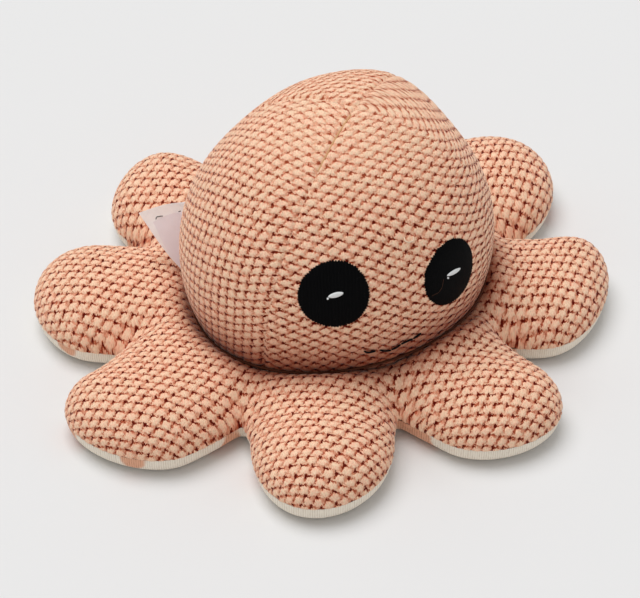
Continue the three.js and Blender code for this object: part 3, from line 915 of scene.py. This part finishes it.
def fold_between(plan):
    """Share of the rise that is lost in the folds that run in from the notches."""
    radius = np.linalg.norm(plan, axis=1)
    angle = np.arctan2(plan[:, 1], plan[:, 0]) / (2 * HALF_SECTOR)
    aside = radius * np.sin(np.abs(angle - np.round(angle)) * 2 * HALF_SECTOR)
    return FOLD_SHARE * np.exp(-((aside / FOLD_BREADTH) ** 2)) * smooth_step(*FOLD_RADII, radius)


def slope_of(height, plan):
    """The plan slope of a height that is a function of plan points."""
    step = 0.05
    moved = [height(plan + shift) - height(plan - shift) for shift in step * np.eye(2)]
    return np.stack(moved, -1) / (2 * step)


def along_courses(plan):
    """Plan points in the star's own directions, along its courses and across them."""
    turn = math.radians(COURSE_TURN_DEG)
    u = plan[:, 0] * math.cos(turn) + plan[:, 1] * math.sin(turn)
    v = -plan[:, 0] * math.sin(turn) + plan[:, 1] * math.cos(turn)
    return u, v


def star_top(plan):
    """Points, outward directions and cloth places of the star's upper side over plan points."""
    distance, inward = from_edge(plan)
    share, slope = swell(distance, TOP_REACH, TOP_FULLNESS)
    fold = fold_between(plan)
    height = SEAM_HEIGHT + TOP_RISE * share * (1 - fold) + neck_lift(plan)
    rise = TOP_RISE * (slope * (1 - fold))[:, None] * inward + slope_of(neck_lift, plan)
    rise -= TOP_RISE * share[:, None] * slope_of(fold_between, plan)
    outward = unit(np.column_stack([-rise, np.ones(len(plan))]))
    to_notch = np.min([np.linalg.norm(plan - notch, axis=1) for notch in NOTCHES], axis=0)
    calm = smooth_step(*NOTCH_CALM, to_notch)
    spare = np.interp(distance, *SPARE)
    u, v = along_courses(plan - inward * (spare * calm)[:, None])
    at_edge = spare - np.interp(np.maximum(distance, EDGE_BREADTH), *SPARE)
    x, y = (plan - inward * (EDGE_SHARE * at_edge * calm)[:, None]).T / 100
    terms = np.stack([u, v, x, y, x * y, x * x, y * y])
    u, v = np.array(STAR_ACROSS) @ terms, np.array(STAR_UP) @ terms
    return np.column_stack([plan, height]), outward, u, v


def knitted_top(plan):
    points, outward, u, v = star_top(plan)
    u, v = uneven(u, v, 31)
    points = points + outward * (STAR_LUMP_RISE - KNIT_DEPTH * (1 - cushions(u, v)))[:, None]
    # The neck attribute carries the painted shade of the crease
    return points, np.stack([u, v], -1), {"neck": painted_crease_shade(points, CREASE_SHADE_REACH["star"])}


def sector_plan(arm, count, s, q):
    """Plan points of an arm's cloth, from its edge at q = 0, close together there, to the collar."""
    edge = sector_edge(arm, count + 1)
    angles = bearing_of(arm) + np.linspace(-HALF_SECTOR, HALF_SECTOR, count + 1)
    inner = COLLAR_OUTER_RADIUS * directions(angles)
    index = np.round(s * count).astype(int)
    share = (1 - np.cos(q * math.pi / 2))[:, None]
    return edge[index] * (1 - share) + inner[index] * share


def ring_plan(s, radius):
    return radius[:, None] * directions(s * FULL_TURN)


def underside(plan, edge_rise=0.0):
    """Heights of the star's underside over plan points."""
    share, _ = swell(from_edge(plan)[0], BELLY_REACH, BELLY_FULLNESS)
    return np.maximum(FLOOR_GAP, SEAM_HEIGHT + edge_rise - BELLY_DEPTH * share)


def spotted_under(plan):
    """The underside's jersey over plan points."""
    height = underside(plan, JERSEY_EDGE_RISE)
    u, v = along_courses(plan)
    ragged = 1 + 0.12 * wander(u, v, 3.0, 24)
    spots = np.zeros(len(plan))
    for row_step in (-1, 0, 1):
        row = np.round(v / SPOT_PITCH) + row_step
        for column_step in (-1, 0, 1):
            column = np.round(u / SPOT_PITCH) + column_step
            at_u = (column + 0.6 * (scatter(row, column, 21) - 0.5)) * SPOT_PITCH
            at_v = (row + 0.6 * (scatter(row, column, 22) - 0.5)) * SPOT_PITCH
            size = SPOT_RADIUS + SPOT_GROWTH * scatter(row, column, 23)
            inside = np.hypot(u - at_u, v - at_v) / size / ragged
            spots = np.maximum(spots, 1 - smooth_step(0.93, 1.03, inside))
    return np.column_stack([plan, height]), np.stack([u, v], -1), {"spots": spots}


def settle_on_arm(piece, arm, node):
    """Bakes a piece's place into its mesh and hides the arm's node that it replaces."""
    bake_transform(piece)
    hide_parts(f"arm_{arm + 1}_{node}")


collar = cloth("star_collar_knit", COLLAR_CELLS,
               lambda s, q: knitted_top(ring_plan(s, COLLAR_OUTER_RADIUS - COLLAR_WIDTH * q)),
               PEACH_KNIT, closed=True)
settle(collar, "star", "star_top_panel")
middle = cloth("star_middle_jersey", MIDDLE_CELLS,
               lambda s, q: spotted_under(ring_plan(s, COLLAR_OUTER_RADIUS * q)),
               CREAM_JERSEY, closed=True)
settle(middle, "star", "star_under_panel")
for arm in range(ARM_COUNT):
    top = cloth(f"arm_{arm + 1}_knit", SECTOR_CELLS,
                lambda s, q: knitted_top(sector_plan(arm, SECTOR_CELLS[0], s, q)), PEACH_KNIT)
    settle_on_arm(top, arm, "top_panel")
    under = cloth(f"arm_{arm + 1}_jersey", UNDER_CELLS,
                  lambda s, q: spotted_under(sector_plan(arm, UNDER_CELLS[0], s, 1 - q)),
                  CREAM_JERSEY)
    settle_on_arm(under, arm, "under_panel")


# Eyes and mouth, placed by pixels of the photograph

# Middle and radius; glints: both ends and width
EYES = {"left": ((334.5, 295.0), 14.5), "right": ((451.2, 272.9), 14.8)}
EYE_TEETH = 75
EYE_CELLS = (450, 36)
EYE_HEIGHTS = (1.1, 0.5, -0.3)  # of the middle, the rim and the rim's foot above the head
GLINTS = {
    "left": ((327.4, 297.0), (344.2, 292.6), 2.5),
    "right": ((446.0, 276.0), (461.0, 267.8), 2.2),
}
GLINT_HEIGHT = 1.2
SPECKS = {"left": (328.0, 297.4), "right": (446.0, 277.0)}
SPECK_RADIUS = 0.42
SPECK_HEIGHTS = (1.6, 1.4, 0.9)
MOUTH = [
    [(364.0, 350.8), (366.5, 352.6), (370.0, 352.4), (375.5, 351.1)],
    [(379.4, 350.0), (385.0, 351.1), (391.0, 350.4)],
    [(391.4, 349.8), (396.0, 347.8), (400.6, 344.5)],
    [(401.0, 344.2), (407.0, 341.4), (412.8, 338.8)],
    [(413.2, 338.6), (417.0, 336.4), (421.0, 333.2)],
]
MOUTH_RADIUS = 0.42
MOUTH_HEIGHTS = (0.35, 0.95)  # of a stitch's ends and of its middle


def on_disc(name, pixel, edge, heights, material, cells):
    """A round patch on the head, domed to its middle, whose edge turns down to its foot."""
    top, rim, foot = heights
    outward = unit(on_head(pixel) - HEAD_CENTRE)
    across = unit(np.cross([0, 0, 1], outward))
    above = np.cross(outward, across)

    def place(s, q):
        angle = s * FULL_TURN
        reach = q * edge(angle)
        x, y = reach * np.cos(angle), reach * np.sin(angle)
        spread = np.hypot(x, y) / HEAD_RADIUS
        aside = x[:, None] * across + y[:, None] * above
        toward = aside / np.maximum(spread * HEAD_RADIUS, 1e-9)[:, None]
        n = unit(np.cos(spread)[:, None] * outward + np.sin(spread)[:, None] * toward)
        height = np.where(q > 0.999, foot, top + (rim - top) * q ** 6)
        return head_surface(n, height), np.stack([x, y], -1), {}

    return cloth(name, cells, place, material, closed=True)


def toothed(radius, seed):
    """An embroidered edge: one short tooth for every stitch that ends there."""

    def edge(angle):
        place = angle / FULL_TURN * EYE_TEETH
        tooth = np.abs(2 * (place - np.floor(place)) - 1)
        uneven_teeth = 0.35 + 0.65 * scatter(np.floor(place) % EYE_TEETH, 0, seed)
        return radius + 0.2 - 0.8 * tooth * uneven_teeth + 0.25 * np.sin(3 * angle + seed)

    return edge


def lens(name, ends, width):
    """A pointed oval of white stitches between two points of the head."""
    first, last = (on_head(pixel, 1) for pixel in ends)
    middle = (first + last) / 2
    along = unit(last - first)
    aside = np.cross(unit(middle - HEAD_CENTRE), along)
    half = np.linalg.norm(last - first) / 2

    def place(s, q):
        angle = s * FULL_TURN
        x = half * q * np.cos(angle)
        y = width / 2 * q * np.sin(angle) * np.sqrt(np.abs(np.sin(angle)) * 0.4 + 0.6)
        points = middle + x[:, None] * along + y[:, None] * aside
        height = GLINT_HEIGHT + 0.45 * (1 - q ** 4) - 0.5 * q ** 8
        return head_surface(unit(points - HEAD_CENTRE), height), np.stack([x, y], -1), {}

    return cloth(name, (48, 10), place, WHITE_THREAD, closed=True)


def thread_on_head(name, pixels, heights, radius, material, steps, around=8):
    line = [on_head(pixel, height) for pixel, height in zip(pixels, heights)]
    return tube(name, line, radius, material, steps, around)


for side, (pixel, radius) in EYES.items():
    edge = toothed(radius, len(side))
    eye = on_disc(f"{side}_eye_satin", pixel, edge, EYE_HEIGHTS, BLACK_SATIN, EYE_CELLS)
    settle(eye, "head", f"{side}_eye")

for side, (first, last, width) in GLINTS.items():
    glint = lens(f"{side}_eye_glint_stitches", (first, last), width)
    settle(glint, "head", f"{side}_eye_glint")
    speck = on_disc(f"{side}_eye_speck_stitch", SPECKS[side], lambda angle: SPECK_RADIUS,
                    SPECK_HEIGHTS, WHITE_THREAD, (16, 6))
    settle(speck, "head", f"{side}_eye_speck")

for number, pixels in enumerate(MOUTH, 1):
    end, inner = MOUTH_HEIGHTS
    heights = [end] + [inner] * (len(pixels) - 2) + [end]
    name = f"mouth_stitch_{number}"
    stitch = thread_on_head(f"{name}_thread", pixels, heights, MOUTH_RADIUS, BLACK_THREAD, 24)
    settle(stitch, "head", name)


# Threads

CROWN_POINTS = 24
CROWN_RISES_DEG = (86, 58)
CROWN_DEPTH = -0.75
LOOP_PIXELS = [(403.8, 236.6), (405.0, 241.0), (409.0, 242.6), (413.2, 240.8), (413.6, 236.4)]
LOOP_HEIGHTS = [0.2, 2.2, 2.8, 2.2, 0.2]
HAIR_PIXELS = [(443.8, 278.6), (442.2, 287.5), (438.6, 292.6), (431.2, 296.4)]
HAIR_HEIGHTS = [1.35] * len(HAIR_PIXELS)

neck_bearings = np.linspace(-math.pi, math.pi, 241)
neck_line = round_neck(neck_bearings, np.interp(neck_bearings, *NECK) + 0.3,
                       neck_level(neck_bearings) - NECK_CREASE + 0.3)
neck_thread = tube("neck_running_thread", neck_line, 0.5, SEAM_THREAD, 480)
settle(neck_thread, "star", "neck_seam_thread")

crown_rises = np.radians(np.linspace(*CROWN_RISES_DEG, CROWN_POINTS))
crown_outward = head_outward(np.full(CROWN_POINTS, -math.pi / 4), crown_rises)
crown_line = head_surface(crown_outward, np.full(CROWN_POINTS, CROWN_DEPTH))
settle(tube("crown_seam_thread", crown_line, 0.45, CROWN_THREAD, 60), "head")

loop = thread_on_head("loose_yarn_loop", LOOP_PIXELS, LOOP_HEIGHTS, 0.34, PALE_YARN, 32)
settle(loop, "head")

hair = thread_on_head("hair_on_eye", HAIR_PIXELS, HAIR_HEIGHTS, 0.1, BROWN_HAIR, 28, around=5)
settle(hair, "head")


# Ribbon label

LABEL_CELLS = (60, 68)
LOW_CORNER = on_level((177.5, 268.0), 31.5)
FAR_OUT = from_bearing(165, 5)
# Width and length, the root's two bearings, pixel and depth of the near and the far corner, slack
LABEL_PAGES = {
    "outer": ((30, 40), (-112, -141), ((138.6, 213.0), 6), ((195.0, 202.0), 24), 12, OUTER_RIBBON),
    "inner": ((20, 33), (-116, -137), ((153.0, 222.0), 7), ((190.0, 212.0), 19), 8, INNER_RIBBON),
}
LABEL_STITCHES = [
    [(156.0, 219.6), (156.6, 217.6), (160.0, 216.4), (163.4, 216.0)],
    [(178.4, 211.6), (181.4, 210.8)],
]


def curved(ends, handles, share):
    """Points of a cubic curve between two ends, drawn towards two handles."""
    (start, end), (first, second) = ends, handles
    t = share[:, None]
    drawn = 3 * first * t * (1 - t) ** 2 + 3 * second * t ** 2 * (1 - t)
    return start * (1 - t) ** 3 + drawn + end * t ** 3


def beside_head(pixel, beyond):
    """The point that the camera sees at a pixel, that far behind the head's middle."""
    ray = sight(pixel)
    return CAMERA_PLACE + ray * (((CAMERA_PLACE - HEAD_CENTRE) @ BACK + beyond) / -(ray @ BACK))


def ribbon_page(name, size, root_bearings, near, far, slack, material):
    """One page, from the neck's crease over the star to its free edge beside the head."""
    first, last = np.radians(root_bearings)
    near_corner, far_corner = beside_head(*near), beside_head(*far)

    def place(s, q):
        bearing = first + (last - first) * s
        reach = np.interp(bearing + FULL_TURN * (bearing < -math.pi), *NECK) + 0.2
        root = round_neck(bearing, reach, neck_level(bearing) - 0.6)
        bulge = np.sin(math.pi * s)[:, None]
        free = near_corner + (far_corner - near_corner) * s[:, None]
        free = free - 2.6 * bulge * BACK + 1.6 * bulge * UP
        swung = (s ** 3)[:, None] * FAR_OUT * slack
        out = (1 - s)[:, None] * (LOW_CORNER - root) * 1.5 + swung
        back = (1 - s)[:, None] * (LOW_CORNER - near_corner) * 0.45 + swung
        points = curved((root, free), (root + out, free + back), q)
        return points, np.stack([size[0] * s, size[1] * q], -1), {}

    return cloth(name, LABEL_CELLS, place, material)


def on_piece(piece, pixel):
    """The vertex of a piece that the camera sees nearest to a pixel, a little in front of it."""
    points = places_of(piece.data) / MM
    away = points - CAMERA_PLACE
    along = away @ sight(pixel)
    aside = np.linalg.norm(away - along[:, None] * sight(pixel), axis=1)
    return points[aside.argmin()] + 0.4 * BACK


for side, (size, *measures) in LABEL_PAGES.items():
    page = ribbon_page(f"care_label_{side}_ribbon", size, *measures)
    settle(page, "care_label", f"care_label_{side}_page")

outer_page = bpy.data.objects["care_label_outer_ribbon"]
for number, pixels in enumerate(LABEL_STITCHES, 1):
    line = [on_piece(outer_page, pixel) for pixel in pixels]
    stitch = tube(f"care_label_stitch_{number}", line, 0.2, BLACK_THREAD, 12, around=6)
    settle(stitch, "care_label")


# Stuffing

KNIT_GAP = 2.4  # between the knit and the stuffing
JERSEY_GAP = 2.0
STAR_STUFFING_RADIUS = 78.0
STAR_STUFFING_TOP = 24.0
ARM_STUFFING_START = 82
ARM_STUFFING_HUB = 104
ARM_EDGE_GAP = 2.2


def filled(name, place):
    return cloth(name, FILLING_CELLS, place, FIBRE, closed=True)


def from_ends(q):
    """0 at both ends of q, rising to 1 in its middle."""
    return 1 - np.abs(2 * q - 1)


def head_stuffing(s, q):
    outward = head_outward(s * FULL_TURN, (q - 0.5) * math.pi * 0.999999)
    points = head_surface(outward, np.full(len(s), -KNIT_GAP))
    points[:, 2] = np.maximum(points[:, 2], HEAD_FLOOR + 2)
    return points, np.stack([s * 400, q * 200], -1), {}


def pillow(plan, q):
    """Heights inside the star's cloths: near the jersey in the first half of q, then near the knit."""
    top = star_top(plan)[0][:, 2] - KNIT_GAP
    bottom = underside(plan) + JERSEY_GAP
    middle = 0.5 * (top + bottom)
    height = np.where(q < 0.5, bottom, top)
    full = np.sqrt(np.clip(1 - from_ends(q) ** 2, 0, 1)) ** 0.4
    return middle + (height - middle) * np.where(np.abs(q - 0.5) < 0.01, 0, full)


def star_stuffing(s, q):
    reach = STAR_STUFFING_RADIUS * from_ends(q) ** 0.6
    plan = ring_plan(s, np.maximum(reach, 1e-3))
    height = np.minimum(pillow(plan, q), STAR_STUFFING_TOP)
    return np.column_stack([plan, height]), np.stack([s * 400, q * 200], -1), {}


def arm_stuffing(arm):
    """The stuffing of one arm, spread from the arm's middle to its covers."""
    axis = directions(bearing_of(arm))
    aside = np.array([-axis[1], axis[0]])
    hub = axis * ARM_STUFFING_HUB + aside * ARM_LEANS[arm] * 0.2
    angles = np.linspace(0, FULL_TURN, FILLING_CELLS[0] + 1)
    rays = directions(angles) @ np.stack([axis, aside])
    reach = np.zeros(len(angles))
    for step in np.arange(1, 60, 0.5):
        spots = hub + rays * step
        near, _ = from_edge(spots)
        turned = np.abs(np.arctan2(spots @ aside, spots @ axis))
        inside = (near > ARM_EDGE_GAP) & (spots @ axis > ARM_STUFFING_START)
        inside &= turned < HALF_SECTOR - 0.02
        reach = np.where(inside & (reach >= step - 0.6), step, reach)
    reach = np.maximum(reach, 4)

    def place(s, q):
        length = np.interp(s * FULL_TURN, angles, reach) * from_ends(q) ** 0.6
        ray = directions(s * FULL_TURN) @ np.stack([axis, aside])
        plan = hub + ray * np.maximum(length, 1e-3)[:, None]
        return np.column_stack([plan, pillow(plan, q)]), np.stack([s * 200, q * 100], -1), {}

    return place


settle(filled("head_fibre_filling", head_stuffing), "head", "head_filling")
settle(filled("star_fibre_filling", star_stuffing), "star", "star_filling")
for arm in range(ARM_COUNT):
    filling = filled(f"arm_{arm + 1}_fibre_filling", arm_stuffing(arm))
    settle_on_arm(filling, arm, "filling")


# Camera, floor and light

def aimed(name, data, away):
    """A camera or a sun whose back is turned to a direction."""
    made = new_object(name, data)
    made.rotation_mode = "QUATERNION"
    made.rotation_quaternion = Vector(-away).to_track_quat("-Z", "Y")
    return made


def make_camera():
    data = bpy.data.cameras.new("camera")
    data.lens = CAMERA_LENS
    data.sensor_width = SENSOR_WIDTH
    camera = aimed("camera", data, BACK)
    camera.location = Vector(CAMERA_PLACE) * MM
    bpy.context.scene.camera = camera


def make_floor():
    bm = bmesh.new()
    bmesh.ops.create_grid(bm, x_segments=1, y_segments=1, size=6.0)
    mesh = bpy.data.meshes.new("floor")
    bm.to_mesh(mesh)
    bm.free()
    paper = Finish("pale_paper", 0.95)
    paper.set("Base Color", (0.80, 0.80, 0.80))
    mesh.materials.append(paper.material)
    new_object("floor", mesh)


def make_sun(bearing_deg, rise_deg, strength, softness_deg):
    data = bpy.data.lights.new("key", "SUN")
    data.energy = strength
    data.angle = math.radians(softness_deg)
    aimed("key", data, from_bearing(bearing_deg, rise_deg))


def make_world(strength):
    world = bpy.data.worlds.new("studio")
    bpy.context.scene.world = world
    world.use_nodes = True
    background = world.node_tree.nodes["Background"]
    background.inputs["Color"].default_value = (1.0, 1.0, 1.0, 1)
    background.inputs["Strength"].default_value = strength


make_camera()
make_floor()
make_world(strength=0.47)
make_sun(bearing_deg=-150, rise_deg=74, strength=1.82, softness_deg=45)
bpy.context.scene.view_settings.view_transform = "Standard"
